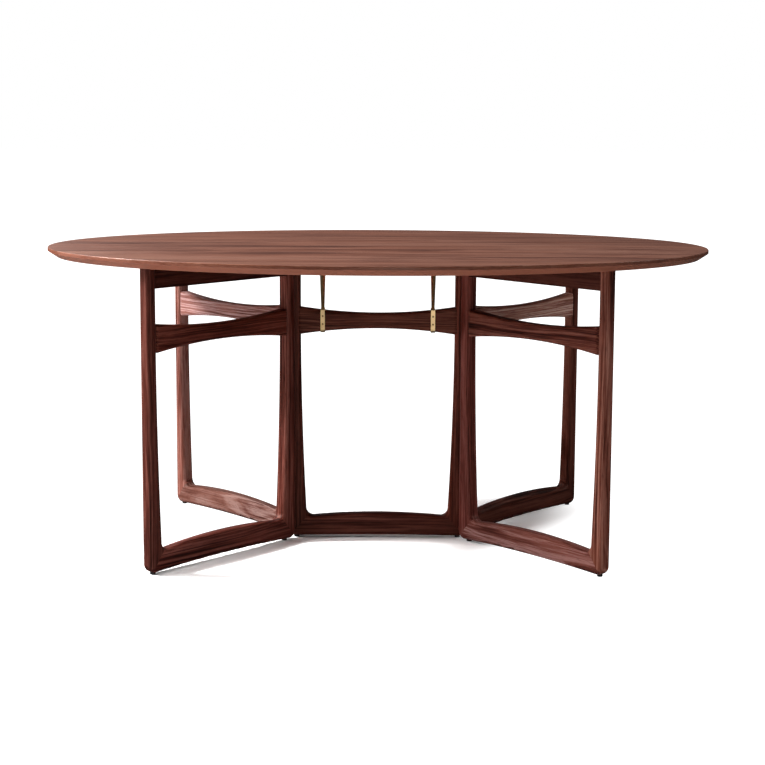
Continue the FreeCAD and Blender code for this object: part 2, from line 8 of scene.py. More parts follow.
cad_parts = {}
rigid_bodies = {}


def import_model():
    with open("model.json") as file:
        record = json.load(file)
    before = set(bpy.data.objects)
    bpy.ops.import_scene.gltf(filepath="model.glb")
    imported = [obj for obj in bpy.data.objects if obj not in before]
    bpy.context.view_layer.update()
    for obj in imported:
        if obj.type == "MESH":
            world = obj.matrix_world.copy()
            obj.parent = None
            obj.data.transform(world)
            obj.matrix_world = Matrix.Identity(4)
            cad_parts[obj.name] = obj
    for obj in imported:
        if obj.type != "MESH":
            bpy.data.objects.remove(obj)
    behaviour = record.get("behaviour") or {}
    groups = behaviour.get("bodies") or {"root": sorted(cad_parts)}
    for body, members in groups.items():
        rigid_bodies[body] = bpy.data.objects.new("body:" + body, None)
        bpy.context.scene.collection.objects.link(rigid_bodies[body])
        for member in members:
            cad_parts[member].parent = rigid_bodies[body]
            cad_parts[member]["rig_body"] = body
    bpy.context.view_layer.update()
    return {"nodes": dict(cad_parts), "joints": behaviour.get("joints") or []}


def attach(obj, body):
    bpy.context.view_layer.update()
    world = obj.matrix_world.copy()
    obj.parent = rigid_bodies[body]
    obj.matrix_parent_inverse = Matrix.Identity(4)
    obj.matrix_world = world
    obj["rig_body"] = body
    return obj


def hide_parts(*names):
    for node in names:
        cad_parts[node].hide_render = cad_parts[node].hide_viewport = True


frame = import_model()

JOINTS = {joint["name"]: joint for joint in frame["joints"]}
X_AXIS = Vector((1, 0, 0))
Z_AXIS = Vector((0, 0, 1))

# The sides on which the gates stand, as signs of x and y
GATES = {"front_left": (-1, -1), "front_right": (1, -1), "rear_left": (-1, 1), "rear_right": (1, 1)}

# Points nearer than MERGE metres are one point, and edges that turn more than SHARP stay sharp
MERGE = 1e-6
SHARP = math.radians(32)


# Shader maths

class Socket:
    """An output of a shader node that can be used in sums."""

    def __init__(self, shader, output):
        self.shader = shader
        self.output = output

    def maths(self, operation, *values):
        return self.shader.node("ShaderNodeMath", {"operation": operation}, values)

    def __add__(self, other):
        return self.maths("ADD", self, other)

    __radd__ = __add__

    def __sub__(self, other):
        return self.maths("SUBTRACT", self, other)

    def __rsub__(self, other):
        return self.maths("SUBTRACT", other, self)

    def __mul__(self, other):
        return self.maths("MULTIPLY", self, other)

    __rmul__ = __mul__

    def __truediv__(self, other):
        return self.maths("DIVIDE", self, other)

    def __rtruediv__(self, other):
        return self.maths("DIVIDE", other, self)


class Shader:
    """The node tree of one material, built by calls."""

    def __init__(self, name):
        self.material = bpy.data.materials.new(name)
        self.material.use_nodes = True
        self.tree = self.material.node_tree
        self.tree.nodes.clear()

    def node(self, kind, settings=None, values=(), output=0):
        """One node: its settings first, then the values or links of its inputs, by order or by name."""
        made = self.tree.nodes.new(kind)
        for key, value in (settings or {}).items():
            if key == "stops":
                ramp = made.color_ramp
                while len(ramp.elements) < len(value):
                    ramp.elements.new(1.0)
                for element, (position, colour) in zip(ramp.elements, value):
                    element.position = position
                    element.color = (*colour, 1.0)
            else:
                setattr(made, key, value)
        pairs = values.items() if isinstance(values, dict) else enumerate(values)
        for key, value in pairs:
            if isinstance(value, Socket):
                self.tree.links.new(value.output, made.inputs[key])
            else:
                made.inputs[key].default_value = value
        return Socket(self, made.outputs[output]) if made.outputs else None

    def here(self):
        """Where a point lies on its object's axes."""
        return self.node("ShaderNodeTexCoord", None, (), "Object")

    def axis(self, vector, letter):
        return self.node("ShaderNodeSeparateXYZ", None, {"Vector": vector}, letter)

    def length(self, vector):
        return self.node("ShaderNodeVectorMath", {"operation": "LENGTH"}, {0: vector}, "Value")

    def scaled(self, vector, scale):
        return self.node("ShaderNodeVectorMath", {"operation": "MULTIPLY"}, {0: vector, 1: scale})

    def mix(self, factor, a, b):
        """Colours a and b mixed by a factor."""
        return self.node("ShaderNodeMix", {"data_type": "RGBA"}, {0: factor, 6: colour4(a), 7: colour4(b)}, 2)

    def noise(self, place, scale, detail=2.0, roughness=0.5):
        """Noise at a place; its scale is one number, or three for the axes."""
        if isinstance(scale, tuple):
            place, scale = self.scaled(place, scale), 1.0
        return self.node("ShaderNodeTexNoise", {"noise_dimensions": "3D"},
                         {"Vector": place, "Scale": scale, "Detail": detail, "Roughness": roughness})

    def white_noise(self, value, output):
        return self.node("ShaderNodeTexWhiteNoise", {"noise_dimensions": "1D"}, {"W": value}, output)

    def step(self, value, low, high):
        """0 below low, 1 above high, smooth between."""
        return self.node("ShaderNodeMapRange", {"interpolation_type": "SMOOTHSTEP"},
                         {"Value": value, "From Min": low, "From Max": high})

    def bump(self, strength, distance, height):
        return self.node("ShaderNodeBump", None,
                         {"Strength": strength, "Distance": distance, "Height": height})

    def surface(self, values):
        shaded = self.node("ShaderNodeBsdfPrincipled", None, values)
        self.node("ShaderNodeOutputMaterial", None, {"Surface": shaded})
        return self.material


def colour4(value):
    return value if isinstance(value, Socket) else (*value, 1.0)


def tinted(colour, tint):
    """A colour times its own share for red, green and blue."""
    return tuple(c * k for c, k in zip(colour, tint))


# Walnut

# Patterns as repeats in a metre, along the grain and twice across it
BEND = (1.3, 5.0, 5.0)
RIPPLE = (5.0, 16.0, 16.0)
FIBRE = (6.0, 260.0, 260.0)
MOTTLE = (3.0, 14.0, 14.0)
PORES = (45.0, 1300.0, 1300.0)
# How far bends and ripples push the rings, in metres, and how fast the rings change along the grain
BEND_PUSH = 0.05
RIPPLE_PUSH = 0.008
RING_DRIFT = 0.9
# The shares of rings, fibre and mottle in the depth of the grain, and where it takes its four tones, from the
# darkest vein to the lightest wood
RING_SHARE = 0.52
FIBRE_SHARE = 0.36
MOTTLE_SHARE = 0.12
TONE_STOPS = (0.41, 0.465, 0.51, 0.56)
# Where mottle begins and ends to warm the wood, and where the pores' noise becomes a pore
WARM_RANGE = (0.40, 0.64)
PORE_RANGE = (0.60, 0.70)
# How strongly each tint covers the wood
WARM_COVER = 0.35
STAVE_COVER = 0.30
# The bevel's cover lays painted light on it, and the upright edge's cover lays painted shade
BEVEL_PAINTED_LIGHT_COVER = 0.85
EDGE_PAINTED_SHADE_COVER = 0.70
# Tints as shares of red, green and blue
WARM_TINT = (1.25, 1.05, 0.85)
STAVE_TINT = (0.80, 0.80, 0.80)
PORE_TINT = (0.6, 0.6, 0.6)
# The bevel's tint is painted light, as the bright floor below would give
BEVEL_PAINTED_LIGHT_TINT = (0.90, 0.66, 0.58)
SHEEN_TINT = (1.0, 0.72, 0.60, 1.0)
# Staves are counted from this far beside the table, and each is taken from its own place in the log
STAVE_START = 2.0
STAVE_JUMP = (3.0, 0.2, 0.2)
# The soft line between a board's bevel and its upright edge, and the edge's arris, in metres
BAND_BLUR = 0.0006
ARRIS = 0.0012
GRAIN_HEIGHT = 0.0002
# Finishes: roughness, sheen, strength of the grain's relief and darkness of the pores
OILED = {"rough": 0.46, "sheen": 0.12, "relief": 0.30, "pores": 0.45}
POLISHED = {"rough": 0.30, "sheen": 0.30, "relief": 0.10, "pores": 0.25}


def walnut(name, along, offset, tones, ring_pitch, finish=OILED, staves=None, band=None):
    """Walnut whose grain runs along a direction; offset takes each piece from its own place in the log.

    A board has the width of its staves too, and a band: the heights between which its edge stands upright;
    its bevel below the band gets painted light and its edge in the band painted shade.
    """
    s = Shader(name)
    darkest, dark, mid, light = tones
    here = s.here()
    turn = along.rotation_difference(X_AXIS).to_euler()
    place = s.node("ShaderNodeMapping", {"vector_type": "POINT"},
                   {"Vector": here, "Rotation": turn, "Location": offset})
    if staves:
        across = s.axis(here, "Y") + STAVE_START
        number = s.node("ShaderNodeMath", {"operation": "FLOOR"}, [across / staves])
        pick = s.white_noise(number + offset[0], "Color")
        tint = s.white_noise(number + offset[1], "Value")
        place = s.node("ShaderNodeVectorMath", {"operation": "MULTIPLY_ADD"},
                       {0: pick, 1: STAVE_JUMP, 2: place})
    bend = s.noise(place, BEND) - 0.5
    ripple = s.noise(place, RIPPLE) - 0.5
    from_pith = s.length(s.scaled(place, (0.0, 1.0, 1.0))) + bend * BEND_PUSH + ripple * RIPPLE_PUSH
    growth = s.node("ShaderNodeCombineXYZ", None,
                    {0: from_pith / ring_pitch, 1: s.axis(place, "X") * RING_DRIFT})
    rings = s.noise(growth, 1.0, 5.0, 0.68)
    fibre = s.noise(place, FIBRE, 4.0, 0.7)
    mottle = s.noise(place, MOTTLE, 3.0, 0.55)
    pores = s.step(s.noise(place, PORES, 1.0), *PORE_RANGE)
    depth = rings * RING_SHARE + fibre * FIBRE_SHARE + mottle * MOTTLE_SHARE
    body = s.node("ShaderNodeValToRGB", {"stops": list(zip(TONE_STOPS, tones))}, {"Fac": depth}, "Color")
    body = s.mix(s.step(mottle, *WARM_RANGE) * WARM_COVER, body, tinted(mid, WARM_TINT))
    if staves:
        body = s.mix(tint * STAVE_COVER, body, tinted(dark, STAVE_TINT))
    # A board's bevel gets painted light and its upright edge painted shade
    if band:
        body = painted_board_edge(s, body, s.axis(here, "Z"), band, dark, light)
    body = s.mix(pores * finish["pores"], body, tinted(darkest, PORE_TINT))
    rough = finish["rough"] + fibre * 0.10 + pores * 0.15 - rings * 0.06
    relief = fibre * 0.35 - pores * 0.6 + rings * 0.15
    return s.surface({"Base Color": body, "Roughness": rough, "Specular IOR Level": finish["sheen"],
                      "Specular Tint": SHEEN_TINT, "Normal": s.bump(finish["relief"], GRAIN_HEIGHT, relief)})


def painted_board_edge(s, body, height, band, dark, light):
    """A board's wood with painted light that makes the bevel below the band paler, and painted shade that
    darkens the upright edge in the band.
    """
    low, high = band
    upright = s.step(height, low - BAND_BLUR, low + BAND_BLUR)
    below_arris = 1.0 - s.step(height, high - ARRIS, high)
    body = s.mix((1.0 - upright) * BEVEL_PAINTED_LIGHT_COVER, body, tinted(light, BEVEL_PAINTED_LIGHT_TINT))
    return s.mix(upright * below_arris * EDGE_PAINTED_SHADE_COVER, body, dark)


# Brass and plastic

# Each brass's colour, its roughness, and the scale of its brushing on the three axes
BRASSES = {
    "strap_brass": ((0.92, 0.65, 0.33), 0.24, (500.0, 500.0, 14.0)),
    "hinge_brass": ((0.50, 0.34, 0.16), 0.42, (60.0, 900.0, 900.0)),
    "screw_brass": ((0.42, 0.27, 0.12), 0.42, (200.0, 200.0, 200.0)),
}
AGE_SCALE = 60.0
AGE_RANGE = (0.42, 0.75)
TARNISH_TINT = (0.72, 0.60, 0.45)
BRUSHED_GAIN = 1.15
BRUSHED_HEIGHT = 0.00005
PLASTIC_BLACK = (0.012, 0.012, 0.013)
PLASTIC_SCUFFED = (0.05, 0.048, 0.046)
SPECKLE_SCALE = 900.0
SPECKLE_HEIGHT = 0.0001
SCUFF_SCALE = 240.0
SCUFF_RANGE = (0.56, 0.72)


def brass(name, colour, rough, stroke):
    """Brushed brass; stroke is the scale of the brushing on the three axes."""
    s = Shader(name)
    here = s.here()
    brushing = s.noise(here, stroke, 3.0, 0.6)
    age = s.noise(here, AGE_SCALE, 4.0, 0.6)
    tone = s.mix(s.step(age, *AGE_RANGE) * 0.5, colour, tinted(colour, TARNISH_TINT))
    tone = s.mix(brushing * 0.25, tone, tuple(min(1.0, c * BRUSHED_GAIN) for c in colour))
    return s.surface({"Base Color": tone, "Metallic": 1.0, "Roughness": rough + brushing * 0.14 + age * 0.08,
                      "Normal": s.bump(0.25, BRUSHED_HEIGHT, brushing)})


def black_plastic(name):
    """Black plastic with a fine speckle and grey scuffs."""
    s = Shader(name)
    here = s.here()
    speckle = s.noise(here, SPECKLE_SCALE)
    scuff = s.step(s.noise(here, SCUFF_SCALE, 4.0, 0.65), *SCUFF_RANGE)
    tone = s.mix(scuff * 0.6, PLASTIC_BLACK, PLASTIC_SCUFFED)
    return s.surface({"Base Color": tone, "Roughness": 0.5 + speckle * 0.25,
                      "Normal": s.bump(0.3, SPECKLE_HEIGHT, speckle)})


# Pieces that keep the CAD shape

def added(name, data):
    """A new object in the scene."""
    made = bpy.data.objects.new(name, data)
    bpy.context.scene.collection.objects.link(made)
    return made


def body_of(node):
    return frame["nodes"][node]["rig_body"]


def nodes_with(*words):
    """The CAD nodes whose names hold one of the words."""
    return [node for node in sorted(frame["nodes"]) if any(word in node for word in words)]


def put(name, mesh, material, node):
    """A finished mesh as a piece that stands for a CAD node."""
    mesh.materials.clear()
    mesh.materials.append(material)
    piece = added(name, mesh)
    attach(piece, body_of(node))
    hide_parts(node)
    return piece


def plain_copy(obj):
    """The evaluated object as a mesh without modifiers; the object goes."""
    bpy.context.view_layer.update()
    mesh = bpy.data.meshes.new_from_object(obj.evaluated_get(bpy.context.evaluated_depsgraph_get()))
    bpy.data.objects.remove(obj)
    return mesh


def smooth_copy(node):
    """The CAD node's mesh, merged, with flat faces kept flat and round ones shaded round."""
    mesh = frame["nodes"][node].data.copy()
    for name in ("custom_normal", "sharp_edge", "sharp_face"):
        if name in mesh.attributes:
            mesh.attributes.remove(mesh.attributes[name])
    work = bmesh.new()
    work.from_mesh(mesh)
    bmesh.ops.remove_doubles(work, verts=work.verts, dist=MERGE)
    for face in work.faces:
        face.smooth = True
    for edge in work.edges:
        edge.smooth = edge.calc_face_angle(0.0) < SHARP
    work.to_mesh(mesh)
    work.free()
    holder = added(node + "_work", mesh)
    even = holder.modifiers.new("even", "WEIGHTED_NORMAL")
    even.keep_sharp = True
    return plain_copy(holder)


def dress(node, material, kind):
    return put(f"{node}_{kind}", smooth_copy(node), material, node)


# Geometry node trees

FLOAT = "NodeSocketFloat"
VECTOR = "NodeSocketVector"
MATERIAL = "NodeSocketMaterial"
GEOMETRY = "NodeSocketGeometry"


class Tree:
    """A geometry node tree built by calls, with named inputs for its sizes."""

    def __init__(self, name, inputs):
        self.group = bpy.data.node_groups.new(name, "GeometryNodeTree")
        self.group.interface.new_socket("Geometry", in_out="INPUT", socket_type=GEOMETRY)
        for label, kind in inputs.items():
            self.group.interface.new_socket(label, in_out="INPUT", socket_type=kind)
        self.group.interface.new_socket("Geometry", in_out="OUTPUT", socket_type=GEOMETRY)
        self.source = self.group.nodes.new("NodeGroupInput")

    def given(self, label):
        return self.source.outputs[label]

    def node(self, kind, settings=None, values=None, output=0):
        made = self.group.nodes.new(kind)
        for key, value in (settings or {}).items():
            setattr(made, key, value)
        for key, value in (values or {}).items():
            if isinstance(value, bpy.types.NodeSocket):
                self.group.links.new(value, made.inputs[key])
            else:
                made.inputs[key].default_value = value
        return made.outputs[output]

    def maths(self, operation, *values):
        return self.node("ShaderNodeMath", {"operation": operation}, dict(enumerate(values)))

    def vector(self, operation, *values):
        return self.node("ShaderNodeVectorMath", {"operation": operation}, dict(enumerate(values)))

    def times(self, vector, factor):
        return self.node("ShaderNodeVectorMath", {"operation": "SCALE"}, {0: vector, "Scale": factor})

    def combined(self, values):
        """A vector from its parts by axis; an axis left out is 0."""
        return self.node("ShaderNodeCombineXYZ", None, values)

    def finish(self, geometry, material):
        """Ends the tree in real geometry with one material."""
        real = self.node("GeometryNodeRealizeInstances", None, {0: geometry})
        dressed = self.node("GeometryNodeSetMaterial", None, {"Geometry": real, "Material": material})
        self.group.links.new(dressed, self.group.nodes.new("NodeGroupOutput").inputs[0])

    def run(self, name, values, start=None):
        """The tree's result as a plain mesh, with its inputs set by their labels."""
        holder = added(name, start or bpy.data.meshes.new(name))
        modifier = holder.modifiers.new(name, "NODES")
        modifier.node_group = self.group
        for item in self.group.interface.items_tree:
            if item.in_out == "INPUT" and item.name in values:
                modifier[item.identifier] = values[item.name]
        return plain_copy(holder)


# How finely a stretcher's mesh is divided
BOW_GRID = {"Vertices X": 73, "Vertices Y": 17, "Vertices Z": 25}


def bow_tree():
    """A rail rounded all round, whose height grows with the square of the distance from its middle."""
    tree = Tree("bow_rail", {"Length": FLOAT, "Thickness": FLOAT, "Middle height": FLOAT, "End height": FLOAT,
                             "Radius": FLOAT, "Place": VECTOR, "Turn": FLOAT, "Material": MATERIAL})
    # The sine of an even grid lies closer at the ends, where the rail is rounded
    grid = tree.node("GeometryNodeMeshCube", None, {"Size": (math.pi,) * 3, **BOW_GRID})
    share = tree.vector("SINE", tree.node("GeometryNodeInputPosition"))
    along = tree.node("ShaderNodeSeparateXYZ", None, {0: share})
    middle = tree.maths("MULTIPLY", tree.given("Middle height"), 0.5)
    gain = tree.maths("SUBTRACT", tree.given("End height"), tree.given("Middle height"))
    growth = tree.maths("MULTIPLY", gain, 0.5)
    square = tree.maths("MULTIPLY", along, along)
    half = tree.combined({"X": tree.maths("MULTIPLY", tree.given("Length"), 0.5),
                          "Y": tree.maths("MULTIPLY", tree.given("Thickness"), 0.5),
                          "Z": tree.maths("MULTIPLY_ADD", square, growth, middle)})
    outer = tree.vector("MULTIPLY", share, half)
    radius = tree.given("Radius")
    limit = tree.vector("SUBTRACT", half, tree.combined({"X": radius, "Y": radius, "Z": radius}))
    core = tree.vector("MINIMUM", tree.vector("MAXIMUM", outer, tree.times(limit, -1.0)), limit)
    direction = tree.vector("NORMALIZE", tree.vector("SUBTRACT", outer, core))
    rounded = tree.vector("ADD", core, tree.times(direction, radius))
    shaped = tree.node("GeometryNodeSetPosition", None, {"Geometry": grid, "Position": rounded})
    smooth = tree.node("GeometryNodeSetShadeSmooth", None, {"Geometry": shaped})
    moved = tree.node("GeometryNodeTransform", None, {"Geometry": smooth, "Translation": tree.given("Place"),
                                                      "Rotation": tree.combined({"Z": tree.given("Turn")})})
    tree.finish(moved, tree.given("Material"))
    return tree


# A screw's sides, its tip's share of the shank's radius, and the seed that turns each slot its own way
SCREW_SIDES = 32
SCREW_TIP = 0.25
SLOT_SEED = 7


def screw_tree():
    """Countersunk screws on the points of a mesh, each turned to the direction that its point holds."""
    tree = Tree("screws", {"Head radius": FLOAT, "Shank radius": FLOAT, "Length": FLOAT, "Slot width": FLOAT,
                           "Slot depth": FLOAT, "Sink": FLOAT, "Material": MATERIAL})
    head_radius = tree.given("Head radius")
    shank_radius = tree.given("Shank radius")
    cone_depth = tree.maths("SUBTRACT", head_radius, shank_radius)
    cone = tree.node("GeometryNodeMeshCone", None, {"Vertices": SCREW_SIDES, "Radius Top": shank_radius,
                                                    "Radius Bottom": head_radius, "Depth": cone_depth})
    shank = tree.node("GeometryNodeMeshCone", None, {
        "Vertices": SCREW_SIDES, "Radius Bottom": shank_radius,
        "Radius Top": tree.maths("MULTIPLY", shank_radius, SCREW_TIP),
        "Depth": tree.maths("SUBTRACT", tree.given("Length"), cone_depth)})
    shank = tree.node("GeometryNodeTransform", None,
                      {"Geometry": shank, "Translation": tree.combined({"Z": cone_depth})})
    # The cutter is longer than the head is wide, and half of it stands out of the head
    slot_size = tree.combined({"X": tree.maths("MULTIPLY", head_radius, 3.0), "Y": tree.given("Slot width"),
                               "Z": tree.maths("MULTIPLY", tree.given("Slot depth"), 2.0)})
    slot = tree.node("GeometryNodeMeshCube", None, {"Size": slot_size})
    cut = tree.node("GeometryNodeMeshBoolean", {"operation": "DIFFERENCE"}, {"Mesh 1": cone, "Mesh 2": slot})
    one = tree.group.nodes.new("GeometryNodeJoinGeometry")
    tree.group.links.new(cut, one.inputs[0])
    tree.group.links.new(shank, one.inputs[0])
    sunk = tree.node("GeometryNodeTransform", None,
                     {"Geometry": one.outputs[0], "Translation": tree.combined({"Z": tree.given("Sink")})})
    direction = tree.node("GeometryNodeInputNamedAttribute", {"data_type": "FLOAT_VECTOR"},
                          {"Name": "direction"})
    turn = tree.node("FunctionNodeAlignRotationToVector", {"axis": "Z"}, {"Vector": direction})
    spin = tree.node("FunctionNodeRandomValue", {"data_type": "FLOAT"},
                     {"Min": 0.0, "Max": math.pi, "Seed": SLOT_SEED}, 1)
    own_turn = tree.node("FunctionNodeRotateRotation", {"rotation_space": "LOCAL"},
                         {"Rotation": turn, "Rotate By": tree.combined({"Z": spin})})
    placed = tree.node("GeometryNodeInstanceOnPoints", None,
                       {"Points": tree.given("Geometry"), "Instance": sunk, "Rotation": own_turn})
    tree.finish(placed, tree.given("Material"))
    return tree


def islands(node):
    """The separate solids of a node, as lists of points."""
    work = bmesh.new()
    work.from_mesh(frame["nodes"][node].data)
    bmesh.ops.remove_doubles(work, verts=work.verts, dist=MERGE)
    left = set(work.verts)
    found = []
    while left:
        group = [left.pop()]
        for vert in group:
            near = [edge.other_vert(vert) for edge in vert.link_edges if edge.other_vert(vert) in left]
            left.difference_update(near)
            group.extend(near)
        found.append([vert.co.copy() for vert in group])
    work.free()
    return found


# Points of a screw this near the farthest from its tip, in metres, are on the rim of its head
RIM_REACH = 1e-5


def screw_place(points):
    """Where a screw's head lies, where it points, and its length, from the points of its solid."""
    tip = max(points, key=lambda p: (p - points[0]).length)
    far = max(points, key=lambda p: (p - tip).length)
    ends = []
    for end, other in ((tip, far), (far, tip)):
        near = [p for p in points if (p - end).length < (p - other).length * 0.5]
        middle = sum(near, Vector()) / len(near)
        ends.append((max((p - middle).length for p in near), end))
    point = min(ends)[1]
    rim_distance = max((p - point).length for p in points)
    rim = [p for p in points if (p - point).length > rim_distance - RIM_REACH]
    head = sum(rim, Vector()) / len(rim)
    return head, (point - head).normalized(), (point - head).length


def screws(node, tree, material, sizes):
    """All screws of a node, made where its solids lie."""
    places = [screw_place(points) for points in islands(node)]
    mesh = bpy.data.meshes.new(node + "_points")
    mesh.from_pydata([head for head, _, _ in places], [], [])
    held = mesh.attributes.new("direction", "FLOAT_VECTOR", "POINT")
    held.data.foreach_set("vector", [c for _, direction, _ in places for c in direction])
    length = min(size for _, _, size in places) - sizes["Sink"]
    made = tree.run(node + "_made", {**sizes, "Length": length, "Material": material}, mesh)
    return put(node + "_slotted", made, material, node)


# The table's own pieces

# Tones from the darkest vein to the lightest wood
FRAME_TONES = ((0.012, 0.0013, 0.0006), (0.046, 0.0084, 0.0052),
               (0.088, 0.0235, 0.0165), (0.148, 0.0540, 0.0405))
TOP_TONES = ((0.037, 0.0088, 0.0047), (0.095, 0.0300, 0.0176),
             (0.157, 0.0610, 0.0395), (0.243, 0.1120, 0.0770))
# Each piece's tint as shares of red, green and blue: partly its own board's tone, mostly painted light and
# shade
# Painted shade darkens the top rails, the centre frame's pieces, the front left leg and the rear right leg
# and rail;
# painted light and painted sheen brighten the front right leg and lower rail, the rear left leg, rail and
# stretcher and the rear right stretcher
BOARD_TINTS_AND_PAINTED_LIGHT = {
    "centre_post_left": (0.62, 0.50, 0.46),
    "centre_post_right": (1.00, 0.75, 0.65),
    "centre_lower_rail": (0.68, 0.53, 0.48),
    "centre_stretcher": (0.82, 0.80, 0.72),
    "front_left_gate_hinge_post": (1.02, 0.95, 0.95),
    "front_left_gate_outer_leg": (0.68, 0.60, 0.60),
    "front_left_gate_lower_rail": (0.90, 0.75, 0.75),
    "front_left_gate_stretcher": (0.97, 0.78, 0.70),
    "front_left_gate_top_rail": (0.38, 0.28, 0.26),
    "front_right_gate_hinge_post": (1.10, 0.90, 0.95),
    "front_right_gate_outer_leg": (1.75, 2.10, 2.05),
    "front_right_gate_lower_rail": (2.00, 2.75, 3.30),
    "front_right_gate_stretcher": (1.02, 0.92, 0.84),
    "front_right_gate_top_rail": (0.43, 0.33, 0.30),
    "rear_left_gate_outer_leg": (1.35, 1.80, 2.00),
    "rear_left_gate_lower_rail": (1.08, 1.80, 2.10),
    "rear_left_gate_stretcher": (1.90, 3.45, 4.50),
    "rear_right_gate_outer_leg": (0.80, 0.70, 0.62),
    "rear_right_gate_lower_rail": (0.64, 0.58, 0.52),
    "rear_right_gate_stretcher": (3.20, 6.00, 6.80),
}
PLAIN_SHADE = (1.0, 1.0, 1.0)
# Where the boards of the top and the stop blocks lie in the log, in metres
BOARD_PLACES = {"centre_board": (0.4, 0.05, -0.08), "leaf_front": (2.5, 0.05, -0.08),
                "leaf_rear": (4.6, 0.05, -0.08)}
BLOCK_PLACE = (0.7, 0.2, 0.1)
# The widths of a growth ring and of a stave, and the heights of the top's upright edge, in metres
FRAME_RING = 0.005
TOP_RING = 0.014
STAVE = 0.105
BAND = (0.722, 0.729)
# The rounding of the stretchers, and how far their ends are let into the posts
STRETCHER_RADIUS = 0.0085
SCRIBE = 0.0015
# The share of a stretcher's length over which its waist is measured
WAIST_SHARE = 0.05
# Slotted screws, in metres
STRAP_SCREW = {"Head radius": 0.0026, "Shank radius": 0.0013, "Slot width": 0.0008, "Slot depth": 0.0007,
               "Sink": 0.0002}
HINGE_SCREW = {"Head radius": 0.003, "Shank radius": 0.0015, "Slot width": 0.0008, "Slot depth": 0.0007,
               "Sink": 0.0002}


def gate_direction(name):
    """The level direction in which an open gate runs from its hinge."""
    side_x, side_y = GATES[name]
    angle = math.radians(JOINTS[f"{name}_gate_fold"]["range_deg"][1])
    return Vector((side_x * math.cos(angle), side_y * math.sin(angle), 0))


def log_place(number):
    """A piece's own place in the log: far from the others along it, and beside the pith."""
    return (1.37 * number, 0.07 + 0.013 * (number % 7), 0.06 - 0.011 * (number % 5))


def wooden_frames():
    """Every wooden piece of the centre frame and the gates, each cut from its own place in the log."""
    frames = {f"{name}_gate": ("hinge_post", "outer_leg", gate_direction(name)) for name in GATES}
    frames["centre"] = ("post_left", "post_right", X_AXIS)
    bows = bow_tree()
    number = 0
    for name, (near, far, along) in frames.items():
        for piece in (near, far, "lower_rail", "top_rail", "stretcher"):
            number += 1
            node = f"{name}_{piece}"
            # Each piece's tint, which carries its painted light and shade
            tint_and_painted_light = BOARD_TINTS_AND_PAINTED_LIGHT.get(node, PLAIN_SHADE)
            tones = [tinted(tone, tint_and_painted_light) for tone in FRAME_TONES]
            grain = Z_AXIS if piece in (near, far) else along
            wood = walnut(node + "_walnut", grain, log_place(number), tones, FRAME_RING)
            if piece == "stretcher":
                stretcher(node, along, bows, wood, (f"{name}_{near}", f"{name}_{far}"))
            else:
                dress(node, wood, "wood")


def stretcher(node, along, bows, wood, posts):
    """A bow-shaped upper rail, remade with an even mesh between the two posts that the frame gives."""
    side = Z_AXIS.cross(along)
    points = [vert.co for vert in frame["nodes"][node].data.vertices]
    spread = [p.dot(side) for p in points]
    top = max(points, key=lambda p: p.z)
    level = (top.z + min(p.z for p in points)) / 2
    near, far = ([v.co.dot(along) for v in frame["nodes"][post].data.vertices if v.co.z > level]
                 for post in posts)
    hidden = STRETCHER_RADIUS if node == "centre_stretcher" else SCRIBE
    start, end = max(near) - hidden, min(far) + hidden
    middle = (start + end) / 2
    waist = max(p.z - level for p in points if abs(p.dot(along) - middle) < (end - start) * WAIST_SHARE)
    share = abs(top.dot(along) - middle) / (end - start) * 2
    end_half = waist + (top.z - level - waist) / share ** 2
    place = along * middle + side * ((min(spread) + max(spread)) / 2) + Z_AXIS * level
    made = bows.run(node + "_made", {
        "Length": end - start, "Thickness": max(spread) - min(spread), "Middle height": waist * 2,
        "End height": end_half * 2, "Radius": STRETCHER_RADIUS, "Place": place,
        "Turn": math.atan2(along.y, along.x), "Material": wood})
    put(node + "_bow", made, wood, node)


def table_top():
    """The three boards, each glued up from staves, and the stop blocks under the leaves."""
    for node, place in BOARD_PLACES.items():
        wood = walnut(node + "_walnut", X_AXIS, place, TOP_TONES, TOP_RING, POLISHED, STAVE, BAND)
        dress(node, wood, "board")
    for node in ("leaf_front_stop_blocks", "leaf_rear_stop_blocks"):
        dress(node, walnut(node + "_walnut", X_AXIS, BLOCK_PLACE, FRAME_TONES, FRAME_RING), "wood")


def metal():
    """Brass straps and hinges, and their screws."""
    bright, plain, dull = (brass(name, *look) for name, look in BRASSES.items())
    for node in ("strap_left", "strap_right"):
        dress(node, bright, "brass")
    for node in nodes_with("plates", "pins"):
        dress(node, plain, "brass")
    tree = screw_tree()
    for node in nodes_with("screws"):
        if node == "board_screws":
            dress(node, dull, "brass")
        elif node == "strap_screws":
            screws(node, tree, dull, STRAP_SCREW)
        else:
            screws(node, tree, plain, HINGE_SCREW)


def glides():
    """The black glides under the feet."""
    black = black_plastic("glide_black")
    for node in nodes_with("glides"):
        dress(node, black, "plastic")


# Floor, room, lamps and camera

FLOOR_REACH = 40.0
# The floor's grey as a light on the table, its grey in the picture, and its glow where it fades to white
FLOOR_WHITE = 0.7
FLOOR_SHOWN = 1.08
FLOOR_GLOW = 1.4
# The share of the floor's light that reflections leave out
FLOOR_SHEEN_SHARE = 0.93
# The oval in which the floor shows shadows: its middle, its turn, its width as a share of its length, and
# the half lengths between which it fades to white, in metres
SHADOW_MIDDLE = (-0.12, -0.10, 0.0)
SHADOW_TURN = math.radians(41.0)
SHADOW_WIDTH = 0.36
FAR_FLOOR = (0.65, 0.95)
# The strength of the white room as a light and in reflections
ROOM_LIGHT = 0.03
ROOM_SHEEN = 0.08
WHITE = (1.0, 1.0, 1.0, 1.0)
BLACK = (0.0, 0.0, 0.0, 1.0)

